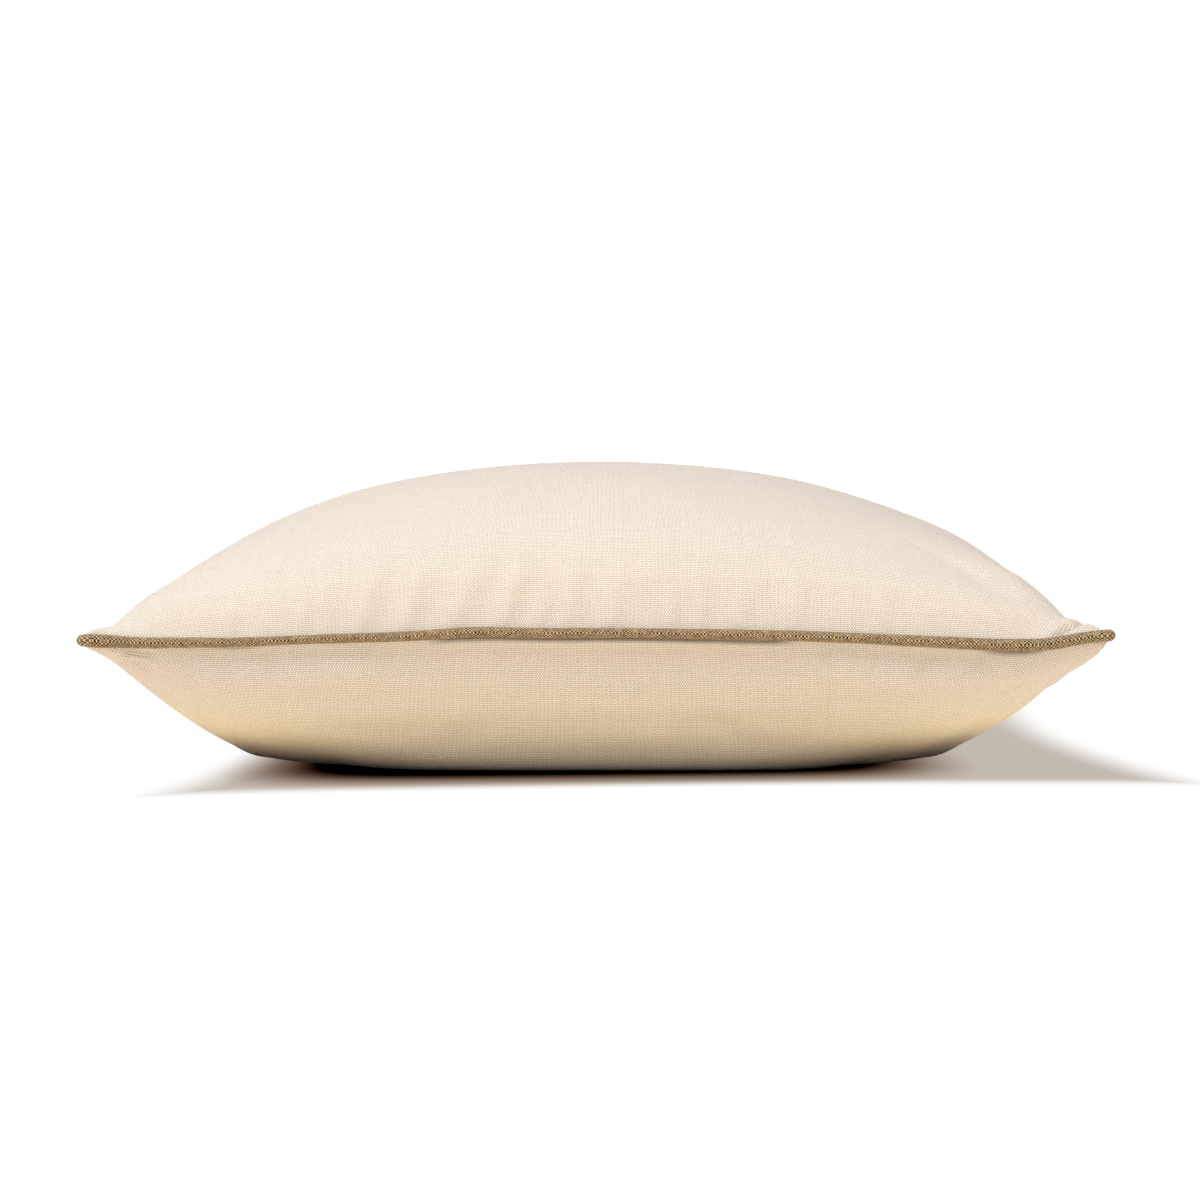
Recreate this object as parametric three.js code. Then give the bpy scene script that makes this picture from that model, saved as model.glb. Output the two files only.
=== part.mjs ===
// A square bed pillow, lying on its back panel on a flat surface.
// One filled cushion, sewn from two panels, and a ring of covered piping round its seam.
// Millimetres, +Z up, the origin on the surface under the middle of the pillow.

import * as THREE from 'three';
import { ParametricGeometry } from 'three/addons/geometries/ParametricGeometry.js';

// Sizes in plan
const TIP_TO_TIP = 645;
const SIDE_DRAW = 34;
const PIPING_DIAMETER = 7.3;
const PIPING_BEND = 8;
const SEWN_GAP = 0.3;
const RIM_BEND = 4.4;
const RIM_HEIGHT = 2.4;

// Heights of the seam over the surface, along a side
const SEAM_INSIDE = 88;
const SEAM_AT_MIDDLE = 90.4;
const SEAM_AT_DIP = 85;
const DIP_PLACE = 0.85;
const SEAM_FADE = 4;

// The filled shape of each panel, from the seam to its middle
const FRONT_PANEL = { rise: 118.5, spread: 1.88, fullness: 0.412, wedge: 5.5 };
const BACK_PANEL = { rise: 120, spread: 3, fullness: 0.48, wedge: 6 };
const CROWN_LEAN = 0.012;
const BACK_SIDE_FALL = 1.79;
const BACK_CORNER_START = 0.1;
const BACK_CORNER_END = 0.77;
const FLOOR_EASE = 11;

// The flattened tips, where the two panels lie close together
const TIP_EASE = 1.5;
const TIP_LENGTH = 60;
const TIP_FADE = 20;
const UPPER_TIP_HEIGHT = 8;
const LOWER_TIP_END = 58;
const CROWN_RAMP = 58;
const FRONT_FOLD_EASE = 3;
const BACK_FOLD_EASE = 14;

// Each corner: where it is, the height of its tip, how far from the tip the crown
// starts, and how deep the back panel hangs at the tip and how steeply it falls from there
const CORNERS = [
  { x: -1, y: -1, tip: 87.4, crownStart: -6, lowerDepth: 5, lowerSlope: 0.31 },
  { x: 1, y: -1, tip: 90.2, crownStart: 17, lowerDepth: 12.5, lowerSlope: 0.22 },
  { x: 1, y: 1, tip: 88.2, crownStart: 9, lowerDepth: 6, lowerSlope: 0.3 },
  { x: -1, y: 1, tip: 88.8, crownStart: 2, lowerDepth: 5, lowerSlope: 0.28 },
];
const CORNER_SHARE = 0.3;

// Small gathers of the front panel along the seam, one at every second step of a side
const GATHER_DEPTH = 1.1;
const GATHER_START = 7;
const GATHER_END = 30;
const GATHER_CORNER_FADE = 0.8;

// Steps of the meshes. A ring is given by its inset from the rim, in millimetres.
const SIDE_STEPS = 44;
const BEND_STEPS = 4;
const FINE_RINGS = [0, 1.5, 4, 8.5, 14, 20, 28];
const MIDDLE_RINGS = [38, 50, 66, 86];
const COARSE_RINGS = [104, 124, 146, 170, 196, 225, 255, 285];
const INNER_BEND_GROWTH = 0.35;
const PIPING_SIDE_STEPS = 32;
const PIPING_BEND_STEPS = 6;
const PIPING_FACETS = 8;

// Sizes that follow
const PIPING_RADIUS = PIPING_DIAMETER / 2;
const SIDE_SLOPE = (4 * SIDE_DRAW) / TIP_TO_TIP;
const SIDE_ANGLE = Math.atan(SIDE_SLOPE);
const CORNER_HALF_ANGLE = Math.PI / 4 - SIDE_ANGLE;
const BEND_INSET = PIPING_BEND * (1 - Math.cos(SIDE_ANGLE) + SIDE_SLOPE * (1 - Math.sin(SIDE_ANGLE)));
const PIPING_ROUTE = plan(TIP_TO_TIP / 2 - PIPING_RADIUS + BEND_INSET, SIDE_DRAW, PIPING_BEND);
const RIM_INSET = PIPING_RADIUS + SEWN_GAP;
const RIM_APEX = PIPING_ROUTE.apex - RIM_INSET / Math.sin(CORNER_HALF_ANGLE) / Math.SQRT2;
const RIM_DRAW = RIM_APEX - (PIPING_ROUTE.apex - SIDE_DRAW - RIM_INSET);
const RIM = plan(RIM_APEX, RIM_DRAW, RIM_BEND);

// A square in plan with drawn-in sides: the half side to its apexes, how far the
// middle of a side is drawn in, and the radius of its corners
function plan(apex, draw, bend) {
  return { apex, draw, bend };
}

// A place in plan, from u and v that run from -1 to 1 across the square
function planPoint(square, u, v) {
  return {
    x: u * (square.apex - square.draw * (1 - v * v) * Math.abs(u)),
    y: v * (square.apex - square.draw * (1 - u * u) * Math.abs(v)),
  };
}

function smoothStep(low, high, value) {
  const t = THREE.MathUtils.clamp((value - low) / (high - low), 0, 1);
  return t * t * (3 - 2 * t);
}

// The larger of two heights, with the fold between them eased over a short width
function easedMax(a, b, ease) {
  const share = THREE.MathUtils.clamp(0.5 + (0.5 * (b - a)) / ease, 0, 1);
  return a * (1 - share) + b * share + ease * share * (1 - share);
}

// A height that comes down on the surface and lies flat on it
function easedFloor(height) {
  if (height >= FLOOR_EASE) {
    return height;
  }
  if (height <= -FLOOR_EASE) {
    return 0;
  }
  return (height + FLOOR_EASE) ** 2 / (4 * FLOOR_EASE);
}

// A corner value at u and v, shared out smoothly between the four corners
function cornerValue(column, u, v) {
  return CORNERS.reduce((sum, corner) => {
    const shareX = smoothStep(-CORNER_SHARE, CORNER_SHARE, u * corner.x);
    const shareY = smoothStep(-CORNER_SHARE, CORNER_SHARE, v * corner.y);
    return sum + corner[column] * shareX * shareY;
  }, 0);
}

// Points of a rounded square ring in u and v, anticlockwise from the front side.
// Each point also says how far along its side it lies, from -1 to 1.
function ringStations(halfSide, bend, sideSteps, bendSteps) {
  const stations = [];
  for (let side = 0; side < 4; side += 1) {
    const turn = (side * Math.PI) / 2;
    const addStation = (along, out, place) => {
      stations.push({
        u: along * Math.cos(turn) + out * Math.sin(turn),
        v: along * Math.sin(turn) - out * Math.cos(turn),
        place,
      });
    };
    const straight = halfSide - bend;
    for (let step = 0; step < sideSteps; step += 1) {
      const even = (2 * step) / sideSteps - 1;
      const place = 0.5 * even + 0.5 * Math.sin((even * Math.PI) / 2);
      addStation(place * straight, halfSide, (place * straight) / halfSide);
    }
    for (let step = 0; step < bendSteps; step += 1) {
      const angle = ((step / bendSteps) * Math.PI) / 2;
      addStation(straight + bend * Math.sin(angle), straight + bend * Math.cos(angle), 1);
    }
  }
  return stations;
}

// How far along its side a place lies, from 0 at the side's middle to 1 at a corner
function alongSide(u, v) {
  const reach = Math.max(Math.abs(u), Math.abs(v));
  return reach === 0 ? 0 : Math.min(Math.abs(u), Math.abs(v)) / reach;
}

// How far inwards from the rim a place lies
function fromRim(u, v) {
  return RIM.apex * (1 - Math.max(Math.abs(u), Math.abs(v)));
}

// The height of the seam next to u and v, carried inwards to the middle's level
function seamHeight(u, v) {
  const reach = Math.max(Math.abs(u), Math.abs(v));
  const along = alongSide(u, v);
  const inDip = (1 - Math.cos(Math.PI * Math.min(along / DIP_PLACE, 1))) / 2;
  const inTip = smoothStep(DIP_PLACE, 1, along);
  const side = SEAM_AT_MIDDLE - (SEAM_AT_MIDDLE - SEAM_AT_DIP) * inDip;
  const atRim = side + (cornerValue('tip', u, v) - SEAM_AT_DIP) * inTip;
  return SEAM_INSIDE + (atRim - SEAM_INSIDE) * reach ** SEAM_FADE;
}

// How far from the seam's level a panel stands, before its tips are shaped
function panelRise(panel, u, v) {
  const overU = 1 - Math.abs(u) ** panel.spread;
  const overV = 1 - Math.abs(v) ** panel.spread;
  const filled = Math.max(overU * overV, 0) ** panel.fullness;
  return panel.rise * filled * (1 - Math.exp(-fromRim(u, v) / panel.wedge));
}

// How far the back panel hangs: evenly down and in along a side, rounded at a corner
function backDrop(u, v) {
  const inCorner = smoothStep(BACK_CORNER_START, BACK_CORNER_END, alongSide(u, v));
  const rounded = panelRise(BACK_PANEL, u, v);
  return rounded * inCorner + BACK_SIDE_FALL * fromRim(u, v) * (1 - inCorner);
}

// The distance from the nearest tip, measured along the diagonal
function fromTip(u, v) {
  const { x, y } = planPoint(RIM, u, v);
  return (2 * PIPING_ROUTE.apex - Math.abs(x) - Math.abs(y)) / Math.SQRT2;
}

// How much of a tip's own shape shows, from nothing on the rim
function tipShare(u, v) {
  return 1 - Math.exp(-fromRim(u, v) / TIP_EASE);
}

function fadePast(distance, start, length) {
  return Math.exp(-Math.max(distance - start, 0) / length);
}

function frontHeight(u, v) {
  const distance = fromTip(u, v);
  const ramp = THREE.MathUtils.clamp((distance - cornerValue('crownStart', u, v)) / CROWN_RAMP, 0, 1);
  const leaning = u - CROWN_LEAN * (1 - u * u);
  const crown = panelRise(FRONT_PANEL, leaning, v) * Math.sin((ramp * Math.PI) / 2);
  const tip = UPPER_TIP_HEIGHT * tipShare(u, v) * fadePast(distance, TIP_LENGTH, TIP_FADE);
  return seamHeight(u, v) + RIM_HEIGHT / 2 + easedMax(tip, crown, FRONT_FOLD_EASE);
}

function backHeight(u, v) {
  const distance = fromTip(u, v);
  const slope = cornerValue('lowerSlope', u, v);
  const tipDepth = cornerValue('lowerDepth', u, v) + slope * Math.min(distance, TIP_LENGTH);
  const tip = tipDepth * tipShare(u, v) * fadePast(distance, LOWER_TIP_END, TIP_FADE);
  const drop = easedMax(tip, backDrop(u, v), BACK_FOLD_EASE);
  return easedFloor(seamHeight(u, v) - RIM_HEIGHT / 2 - drop);
}

// How far a gather pushes the front panel out or in at one step of a ring
function gatherDepth(step, place, inset) {
  const grown = smoothStep(0, GATHER_START, inset) * (1 - smoothStep(GATHER_START, GATHER_END, inset));
  const kept = 1 - smoothStep(GATHER_CORNER_FADE, 1, Math.abs(place));
  const way = step % 2 === 0 ? 1 : -1;
  return way * GATHER_DEPTH * grown * kept;
}

// One ring of a panel, as points
function panelRing(inset, sideSteps, bendSteps, heightAt, gathered) {
  const halfSide = 1 - inset / RIM.apex;
  const bend = Math.min(halfSide, RIM.bend / RIM.apex + INNER_BEND_GROWTH * (1 - halfSide));
  const stations = ringStations(halfSide, bend, sideSteps, bendSteps);
  return stations.map(({ u, v, place }, step) => {
    const { x, y } = planPoint(RIM, u, v);
    const push = gathered ? gatherDepth(step, place, inset) : 0;
    const out = 1 + push / Math.hypot(x, y);
    return new THREE.Vector3(x * out, y * out, heightAt(u, v));
  });
}

// A growing list of points and of triangles between them
class Shell {
  constructor() {
    this.points = [];
    this.triangles = [];
  }

  addLoop(points) {
    const first = this.points.length;
    this.points.push(...points);
    return points.map((point, index) => first + index);
  }

  // Fills the band between two loops that run the same way. The inner loop has as
  // many points as the outer one, or half as many.
  addBand(outer, inner, faceUp) {
    const ratio = outer.length / inner.length;
    inner.forEach((near, index) => {
      const next = inner[(index + 1) % inner.length];
      const start = outer[index * ratio];
      const middle = outer[index * ratio + Math.floor(ratio / 2)];
      const end = outer[((index + 1) * ratio) % outer.length];
      if (middle !== start) {
        this.addTriangle(start, middle, near, faceUp);
      }
      this.addTriangle(middle, next, near, faceUp);
      this.addTriangle(middle, end, next, faceUp);
    });
  }

  addFan(loop, centre, faceUp) {
    loop.forEach((point, index) => {
      this.addTriangle(point, loop[(index + 1) % loop.length], centre, faceUp);
    });
  }

  addTriangle(a, b, c, faceUp) {
    this.triangles.push(a, ...(faceUp ? [b, c] : [c, b]));
  }

  toGeometry() {
    const geometry = new THREE.BufferGeometry().setFromPoints(this.points);
    geometry.setIndex(this.triangles);
    geometry.computeVertexNormals();
    return geometry;
  }
}

// Adds one panel to the shell, from its edge in to its middle, and gives back its edge
function addPanel(shell, heightAt, edgeOffset, faceUp) {
  const edgeHeight = (u, v) => seamHeight(u, v) + edgeOffset;
  const rings = FINE_RINGS.map((inset, index) => {
    const height = index === 0 ? edgeHeight : heightAt;
    return panelRing(inset, SIDE_STEPS, BEND_STEPS, height, faceUp);
  });
  MIDDLE_RINGS.forEach((inset) => {
    rings.push(panelRing(inset, SIDE_STEPS / 2, BEND_STEPS / 2, heightAt, false));
  });
  COARSE_RINGS.forEach((inset) => {
    rings.push(panelRing(inset, SIDE_STEPS / 4, BEND_STEPS / 4, heightAt, false));
  });
  const loops = rings.map((ring) => shell.addLoop(ring));
  for (let index = 1; index < loops.length; index += 1) {
    shell.addBand(loops[index - 1], loops[index], faceUp);
  }
  const [centre] = shell.addLoop([new THREE.Vector3(0, 0, heightAt(0, 0))]);
  shell.addFan(loops.at(-1), centre, faceUp);
  return loops[0];
}

function cushionGeometry() {
  const shell = new Shell();
  const upperEdge = addPanel(shell, frontHeight, RIM_HEIGHT / 2, true);
  const lowerEdge = addPanel(shell, backHeight, -RIM_HEIGHT / 2, false);
  shell.addBand(lowerEdge, upperEdge, true);
  return shell.toGeometry();
}

// The piping's centre line, as stations round the seam
function pipingStations() {
  const bend = PIPING_ROUTE.bend / PIPING_ROUTE.apex;
  return ringStations(1, bend, PIPING_SIDE_STEPS, PIPING_BEND_STEPS).map(({ u, v }) => {
    const { x, y } = planPoint(PIPING_ROUTE, u, v);
    return new THREE.Vector3(x, y, seamHeight(u, v));
  });
}

function pipingGeometry() {
  const stations = pipingStations();
  const count = stations.length;
  const pointAt = (along, around, target) => {
    const index = Math.round(along * count) % count;
    const facet = Math.round(around * PIPING_FACETS) % PIPING_FACETS;
    const angle = (facet * 2 * Math.PI) / PIPING_FACETS;
    const before = stations[(index + count - 1) % count];
    const after = stations[(index + 1) % count];
    const ahead = after.clone().sub(before).normalize();
    const outwards = new THREE.Vector3(ahead.y, -ahead.x, 0).normalize();
    const upwards = new THREE.Vector3().crossVectors(outwards, ahead);
    target.copy(stations[index]);
    target.addScaledVector(outwards, PIPING_RADIUS * Math.cos(angle));
    target.addScaledVector(upwards, PIPING_RADIUS * Math.sin(angle));
  };
  return new ParametricGeometry(pointAt, count, PIPING_FACETS);
}

function namedMesh(name, geometry, color, roughness) {
  const material = new THREE.MeshStandardMaterial({ color, roughness, metalness: 0 });
  const mesh = new THREE.Mesh(geometry, material);
  mesh.name = name;
  return mesh;
}

const CREAM_CANVAS = 0xe9dcc6;
const TAUPE_CANVAS = 0x94805f;
const CLOTH_ROUGHNESS = 0.9;

const pillow = new THREE.Group();
pillow.add(namedMesh('cushion', cushionGeometry(), CREAM_CANVAS, CLOTH_ROUGHNESS));
pillow.add(namedMesh('piping', pipingGeometry(), TAUPE_CANVAS, CLOTH_ROUGHNESS));

export default pillow;
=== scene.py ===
# A square bed pillow that lies on its back panel on a pale floor: a cream canvas
# cover with taupe piping sewn into its seam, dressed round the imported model.
# Metres, +Z up, the origin on the floor under the middle of the pillow.

import math

import bpy
import numpy as np
from mathutils import Euler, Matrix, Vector


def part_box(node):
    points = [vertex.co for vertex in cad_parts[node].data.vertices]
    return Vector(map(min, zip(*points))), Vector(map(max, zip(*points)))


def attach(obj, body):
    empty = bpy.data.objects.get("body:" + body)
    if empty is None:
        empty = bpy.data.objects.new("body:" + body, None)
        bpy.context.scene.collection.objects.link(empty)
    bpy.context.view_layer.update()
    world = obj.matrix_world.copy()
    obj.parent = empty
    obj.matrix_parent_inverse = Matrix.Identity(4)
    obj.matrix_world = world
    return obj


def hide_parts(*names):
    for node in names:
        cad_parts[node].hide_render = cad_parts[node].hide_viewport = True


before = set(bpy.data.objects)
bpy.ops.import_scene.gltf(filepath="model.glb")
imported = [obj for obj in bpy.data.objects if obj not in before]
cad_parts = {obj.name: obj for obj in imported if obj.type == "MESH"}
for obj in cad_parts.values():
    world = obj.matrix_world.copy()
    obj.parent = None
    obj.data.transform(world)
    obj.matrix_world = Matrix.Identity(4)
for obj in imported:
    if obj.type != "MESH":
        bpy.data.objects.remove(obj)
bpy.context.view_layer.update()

MM = 0.001

# Less than any length here, to keep clear of a division by nothing
TINY = 1e-12

# Sizes in plan
TIP_TO_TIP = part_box("piping")[1].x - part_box("piping")[0].x
SIDE_DRAW = 34 * MM
PIPING_RADIUS = 3.65 * MM
PIPING_BEND = 8 * MM
SEWN_GAP = 0.3 * MM
RIM_BEND = 4.4 * MM
RIM_HEIGHT = 2.4 * MM
FLAT_SIDE = 660 * MM

# Heights of the seam over the floor, along a side
SEAM_INSIDE = 88 * MM
SEAM_AT_MIDDLE = 90.4 * MM
SEAM_AT_DIP = 85 * MM
DIP_PLACE = 0.85
SEAM_FADE = 4

# Small rises and dips of the seam. A place runs along the seam from the middle of its
# side. Side 0 is the front one, and the others go anticlockwise. Lengths in these rows,
# and in the rows of the tables down to SLITS, are in millimetres.
SEAM_WAVES = [
    {"side": 0, "place": -268, "height": 0.8, "width": 30},
    {"side": 0, "place": -172, "height": 1.1, "width": 60},
    {"side": 0, "place": -78, "height": 2.0, "width": 36},
    {"side": 0, "place": 20, "height": 0.8, "width": 75},
    {"side": 0, "place": 148, "height": 1.5, "width": 62},
    {"side": 0, "place": 258, "height": -0.6, "width": 26},
    {"side": 1, "place": -120, "height": 0.9, "width": 50},
    {"side": 1, "place": 90, "height": -0.8, "width": 60},
    {"side": 2, "place": -40, "height": 0.8, "width": 60},
    {"side": 2, "place": 180, "height": -0.7, "width": 45},
    {"side": 3, "place": -190, "height": -0.8, "width": 45},
    {"side": 3, "place": 70, "height": 1.0, "width": 60},
]

# Where the piping is thicker or thinner, in the same way
PIPING_SWELLS = [
    {"side": 0, "place": -318, "height": 1.2, "width": 16},
    {"side": 0, "place": -190, "height": -0.8, "width": 80},
    {"side": 0, "place": 10, "height": -0.4, "width": 90},
    {"side": 0, "place": 160, "height": -0.25, "width": 50},
    {"side": 0, "place": 262, "height": 0.25, "width": 45},
    {"side": 1, "place": 60, "height": -0.4, "width": 90},
    {"side": 2, "place": -130, "height": -0.4, "width": 80},
    {"side": 3, "place": 120, "height": -0.4, "width": 90},
]

# Waves fade out towards a side's corners, over this span across the square's diagonals
WAVE_END = (-0.02, 0.08)

# The filled shape of each panel, from the seam to its middle
FRONT_PANEL = {"rise": 118.5 * MM, "spread": 1.88, "fullness": 0.412, "wedge": 5.5 * MM}
BACK_PANEL = {"rise": 120 * MM, "spread": 3, "fullness": 0.48, "wedge": 6 * MM}
CROWN_LEAN = 0.012
BACK_SIDE_FALL = 1.79
BACK_CORNER_START = 0.1
BACK_CORNER_END = 0.77
FLOOR_EASE = 11 * MM

# Soft lumps of the filling under the front panel, and hollows, whose height is below zero:
# the middle of each, its height, and its reach along x and along y
FRONT_LUMPS = [
    {"x": -236, "y": 0, "height": -2.2, "size_x": 44, "size_y": 260},
    {"x": 205, "y": 0, "height": -2.0, "size_x": 40, "size_y": 260},
    {"x": 258, "y": -110, "height": 3.2, "size_x": 22, "size_y": 120},
    {"x": -281, "y": -262, "height": -1.1, "size_x": 21, "size_y": 60},
    {"x": 40, "y": -190, "height": 1.4, "size_x": 60, "size_y": 45},
    {"x": -110, "y": 170, "height": -1.6, "size_x": 55, "size_y": 60},
    {"x": 110, "y": 190, "height": 1.5, "size_x": 60, "size_y": 50},
    {"x": -60, "y": 60, "height": 0.6, "size_x": 70, "size_y": 70},
]

# The same for the back panel, which hangs lower at a lump and less low at a hollow
BACK_LUMPS = [
    {"x": -277, "y": -258, "height": -1.5, "size_x": 18, "size_y": 55},
]

# The flattened tips, where the two panels lie close together
BACK_TIP_EASE = 6 * MM
TIP_LENGTH = 60 * MM
TIP_FADE = 20 * MM
LOWER_TIP_END = 58 * MM
TIP_BULGE_START = 3.2 * MM
TIP_BULGE_FADE = 9 * MM
CROWN_RAMP = 58 * MM
FRONT_FOLD_EASE = 3 * MM
BACK_FOLD_EASE = 7 * MM

# Each corner: where it is, the height of its tip, the height of the front panel over it
# and how far from the rim it is reached, how far the panels bulge over and under the
# piping there, how far from the tip the crown starts, and how deep the back panel hangs
# at the tip and how steeply it falls from there
CORNERS = [
    {
        "x": -1, "y": -1, "tip": 87.7, "ear": 6.9, "ear_ease": 3, "over": 4.2, "under": 4.4,
        "crown": 2.4, "depth": 4.9, "slope": 0.31,
    },
    {
        "x": 1, "y": -1, "tip": 90.9, "ear": 9.8, "ear_ease": 6.6, "over": 0, "under": 4.4,
        "crown": 20.5, "depth": 16.5, "slope": 0.23,
    },
    {
        "x": 1, "y": 1, "tip": 88.2, "ear": 7.6, "ear_ease": 3.6, "over": 2, "under": 2.8,
        "crown": 9, "depth": 6, "slope": 0.3,
    },
    {
        "x": -1, "y": 1, "tip": 88.8, "ear": 7.2, "ear_ease": 3.2, "over": 2.8, "under": 3,
        "crown": 2, "depth": 5, "slope": 0.28,
    },
]
CORNER_SHARE = 0.3

# Steps of the meshes. A panel has a few closer steps next to its rim.
PANEL_STEPS = 220
NEAR_RIM_STEPS = 9
NEAR_RIM = 14 * MM
NEAR_RIM_POWER = 1.5
PIPING_SIDE_STEPS = 240
PIPING_BEND_STEPS = 16
PIPING_FACETS = 24

# The cloth bag that is blown up gently in simulation
BAG_STEPS = 88
BAG_FRAMES = 16
BAG_QUALITY = 5
BAG_MASS = 0.3
BAG_PRESSURE = 4.0
BAG_STIFFNESS = 40.0
BAG_SHEAR = BAG_STIFFNESS / 3
BAG_BENDING = 0.5
BAG_DAMPING = 2
BAG_GIVE = 10 * MM

# What the panels take from it: creases finer than a spread, away from the seam and from
# where the pillow lies
CREASE_SPREAD = 36 * MM
HELD_EDGE = 26 * MM
LYING_HEIGHT = 2 * MM
LYING_EASE = 26 * MM

# Puckers of the front panel over the seam of the front side: their places along it, how
# far they reach up the cloth, how far they lean along the seam over their reach, and
# how high and wide they are
PUCKERS = [
    {"place": -234, "reach": 52, "lean": 4, "height": 1.7, "width": 5.5},
    {"place": -211, "reach": 24, "lean": 2, "height": 0.9, "width": 4.5},
    {"place": -188, "reach": 30, "lean": 4, "height": 1.9, "width": 4.5},
    {"place": -172, "reach": 38, "lean": 3, "height": 1.2, "width": 4.0},
    {"place": -151, "reach": 88, "lean": 20, "height": 2.5, "width": 5.0},
    {"place": -123, "reach": 90, "lean": 28, "height": 2.5, "width": 5.5},
    {"place": -92, "reach": 78, "lean": 25, "height": 2.4, "width": 6.0},
    {"place": -61, "reach": 76, "lean": 23, "height": 2.6, "width": 5.0},
    {"place": -37, "reach": 32, "lean": 5, "height": 2.1, "width": 4.5},
    {"place": -20, "reach": 76, "lean": 13, "height": 2.1, "width": 5.0},
    {"place": 9, "reach": 52, "lean": 10, "height": 2.1, "width": 5.5},
    {"place": 47, "reach": 34, "lean": 4, "height": 2.7, "width": 4.5},
    {"place": 65, "reach": 66, "lean": 5, "height": 1.8, "width": 4.5},
    {"place": 88, "reach": 44, "lean": 12, "height": 1.9, "width": 5.0},
    {"place": 122, "reach": 56, "lean": 9, "height": 2.1, "width": 5.0},
    {"place": 161, "reach": 30, "lean": 0, "height": 1.1, "width": 5.0},
    {"place": 181, "reach": 54, "lean": 1, "height": 1.7, "width": 5.0},
    {"place": 208, "reach": 32, "lean": 0, "height": 1.5, "width": 5.0},
    {"place": 244, "reach": 26, "lean": -3, "height": 0.8, "width": 5.0},
]

# Soft troughs of the back panel under the seam of the front side, in the same way
TROUGHS = [
    {"place": -262, "reach": 26, "lean": 3, "height": -1.8, "width": 5.0},
    {"place": -209, "reach": 46, "lean": 4, "height": -2.5, "width": 4.5},
    {"place": -180, "reach": 40, "lean": 2, "height": -1.4, "width": 6.5},
    {"place": -90, "reach": 36, "lean": -3, "height": -1.0, "width": 7.0},
    {"place": 0, "reach": 34, "lean": 2, "height": -1.0, "width": 6.0},
    {"place": 78, "reach": 38, "lean": 0, "height": -1.4, "width": 6.0},
    {"place": 143, "reach": 46, "lean": 3, "height": -2.7, "width": 4.5},
    {"place": 170, "reach": 40, "lean": 4, "height": -1.7, "width": 5.0},
    {"place": 205, "reach": 44, "lean": 0, "height": -2.8, "width": 4.5},
    {"place": 240, "reach": 36, "lean": -5, "height": -3.3, "width": 4.5},
]

# The sides that don't show get puckers like these, drawn by lot
PUCKER_SEED = 12
PUCKER_APART = (19, 40)
PUCKER_REACH = (26, 70)
PUCKER_LEAN = (-16, 20)
PUCKER_HEIGHT = (0.9, 2.6)
PUCKER_WIDTH = (4.2, 6.2)
PUCKERED_LENGTH = 265
BACK_PUCKER_SHARE = -0.6

# The form of every pucker: how soon it rises from the seam, how it widens inwards, from
# which share of its reach it fades, and the troughs beside its crest
PUCKER_START = 3.2 * MM
PUCKER_WIDENING = 60 * MM
PUCKER_FADE = 0.3
PUCKER_TROUGH = 0.5
PUCKER_TROUGH_WIDTH = 2.1

# Single creases of each panel and side, and small ridges, whose depth is below zero. Each
# runs along a line of places: along the seam of its side and inwards from it.
CREASES = {
    ("front", 0): [
        {"path": [(290, 2), (299, 8), (309, 15)], "depth": 5.6, "width": 2.6},
        {"path": [(296, 2), (302, 5)], "depth": -1.0, "width": 2.6},
    ],
    ("front", 2): [
        {"path": [(282, 5), (290, 9), (298, 12)], "depth": 1.9, "width": 3.4},
        {"path": [(-284, 5), (-291, 10)], "depth": 1.5, "width": 3.4},
    ],
    ("back", 0): [
        {"path": [(-250, 22), (-200, 25), (-150, 22)], "depth": -3.3, "width": 11},
        {"path": [(150, 22), (200, 25), (250, 22)], "depth": -2.6, "width": 11},
        {"path": [(-293, 5), (-281, 7)], "depth": 3.8, "width": 2.8},
        {"path": [(-297, 12), (-285, 17)], "depth": 3.4, "width": 2.8},
        {"path": [(-302, 6), (-289, 11)], "depth": -2.2, "width": 2.8},
        {"path": [(208, 10), (204, 26), (212, 36), (232, 38)], "depth": 1.3, "width": 3.2},
        {"path": [(-170, 64), (-80, 68), (20, 67), (90, 65)], "depth": 1.0, "width": 4.5},
        {"path": [(-60, 57), (60, 59), (150, 56)], "depth": 0.7, "width": 4.0},
        {"path": [(170, 53), (225, 45), (268, 32)], "depth": 1.1, "width": 4.5},
        {"path": [(150, 65), (215, 57), (258, 43)], "depth": 0.9, "width": 4.0},
    ],
    ("back", 1): [
        {"path": [(-250, 36), (-150, 54), (-20, 60), (120, 58)], "depth": 1.0, "width": 4.5},
    ],
    ("back", 2): [
        {"path": [(-200, 46), (-120, 58), (0, 61), (110, 57)], "depth": 1.0, "width": 4.5},
    ],
    ("back", 3): [
        {"path": [(-120, 58), (30, 61), (160, 55), (250, 36)], "depth": 1.0, "width": 4.5},
    ],
}

# Where the back panel stands off the piping over a hollow, with painted shade in the gap
# under it: from and to which place along the seam of a side
SLITS = [
    {"side": 0, "start": -112, "end": 132, "strength": 1.0},
    {"side": 0, "start": 238, "end": 290, "strength": 0.9},
    {"side": 0, "start": -250, "end": -205, "strength": 0.35},
    {"side": 1, "start": -140, "end": 60, "strength": 0.8},
    {"side": 2, "start": -90, "end": 150, "strength": 0.8},
    {"side": 3, "start": -60, "end": 170, "strength": 0.8},
]
SLIT_FADE = 22 * MM
SLIT_DEPTH = 2.4 * MM
SLIT_WIDTH = 2.0 * MM
SLIT_LIP = 1.1 * MM
SLIT_LIP_PLACE = 5.2 * MM
# The painted shade in the gap under the piping: how far in from the seam it reaches, how sharply it
# ends, its colour and how fully it covers the cloth
SLIT_SHADE_REACH = 3.8 * MM
SLIT_SHADE_POWER = 8
SLIT_SHADE_COLOR = (0.045, 0.028, 0.014, 1)
SLIT_SHADE_COVER = 0.93

# Edges of the cover that turn by more than this are shaded as sharp ones
SHARP_ANGLE = math.radians(75)

# Where each panel lies on the square of the map for baking: its half sizes and its middle
BAKED_HALF = (0.495, 0.245)
BAKED_MIDDLES = [(0.5, 0.75), (0.5, 0.25)]

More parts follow.
